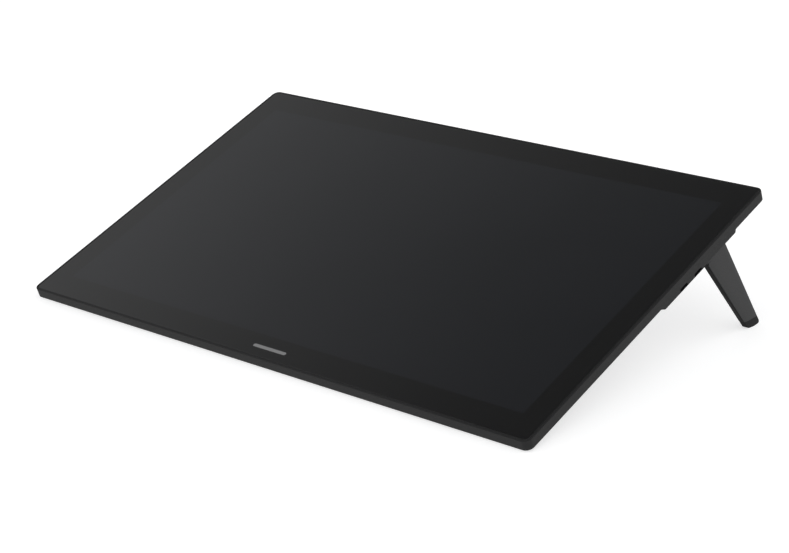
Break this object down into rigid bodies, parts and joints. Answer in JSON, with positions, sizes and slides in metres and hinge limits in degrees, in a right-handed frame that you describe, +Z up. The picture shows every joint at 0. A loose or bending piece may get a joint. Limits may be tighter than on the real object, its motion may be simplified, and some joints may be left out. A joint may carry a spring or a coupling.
{
  "type": "pen display",
  "caption": "Flat pen drawing display with an etched glass face, a thin body and a rear housing, standing tilted on two fold-out legs.",
  "frame": {"origin": "middle of the footprint, on the table", "axes": "+X to the user's right, +Y away from the user, +Z up"},
  "size_m": [0.52, 0.3056, 0.1112],
  "materials": {
    "etched_glass": "anti-glare etched, black printed border",
    "black_tape": "matte",
    "clear_gel": "clear",
    "lcd_glass": "smooth",
    "white_film": "satin",
    "clear_acrylic": "clear",
    "cable_amber": "satin",
    "led_yellow": "gloss",
    "aluminium_sheet": "mill",
    "board_green": "solder mask",
    "steel_plate": "brushed",
    "frame_black": "matte",
    "shell_grey": "fine matte texture",
    "housing_grey": "fine matte texture",
    "chip_black": "matte",
    "brass": "turned",
    "screw_black": "black oxide",
    "rubber_black": "matte",
    "leg_grey": "fine matte texture"
  },
  "bodies": {
    "chassis": {"cover_glass": "etched_glass", "glass_adhesive": "black_tape", "bonding_layer": "clear_gel", "lcd_panel": "lcd_glass", "optical_films": "white_film", "light_guide": "clear_acrylic", "reflector_sheet": "white_film", "led_strip": "cable_amber", "leds": "led_yellow", "backlight_tray": "aluminium_sheet", "pen_sensor_board": "board_green", "shield_sheet": "steel_plate", "mid_frame": "frame_black", "rear_shell": "shell_grey", "rear_housing": "housing_grey", "main_board": "board_green", "main_board_parts": "chip_black", "heat_spreader": "aluminium_sheet", "driver_board": "board_green", "driver_board_parts": "chip_black", "port_board": "board_green", "usb_c_sockets": "steel_plate", "board_spacers": "brass", "board_screws": "steel_plate", "panel_cables": "cable_amber", "backlight_cable": "cable_amber", "sensor_cable": "cable_amber", "port_cable": "white_film", "key_cable": "cable_amber", "key_board": "board_green", "key_switch": "steel_plate", "light_pipe": "clear_acrylic", "vesa_inserts": "brass", "housing_screws": "screw_black", "front_feet": "rubber_black", "rear_pads": "rubber_black", "right_hinge_pin": "steel_plate", "left_hinge_pin": "steel_plate", "right_hinge_bracket": "steel_plate", "left_hinge_bracket": "steel_plate", "right_hinge_washers": "steel_plate", "left_hinge_washers": "steel_plate", "bracket_screws": "steel_plate"},
    "right_leg": {"right_leg": "leg_grey", "right_foot_cap": "rubber_black"},
    "left_leg": {"left_leg": "leg_grey", "left_foot_cap": "rubber_black"},
    "power_key": {"power_key": "frame_black"}
  },
  "joints": [
    {"name": "right_leg_fold", "type": "hinge", "parent": "chassis", "child": "right_leg", "pos_m": [0.254, 0.08348, 0.07686], "axis": [0, 0.9472, 0.3206], "range_deg": [0, 90]},
    {"name": "left_leg_fold", "type": "hinge", "parent": "chassis", "child": "left_leg", "pos_m": [-0.254, 0.08348, 0.07686], "axis": [0, -0.9472, -0.3206], "range_deg": [0, 90]},
    {"name": "power_key_press", "type": "slide", "parent": "chassis", "child": "power_key", "axis": [0, -0.9472, -0.3206], "range_m": [0, 0.0005], "stiffness_N_per_m": 1000, "springref_m": -0.0005}
  ]
}
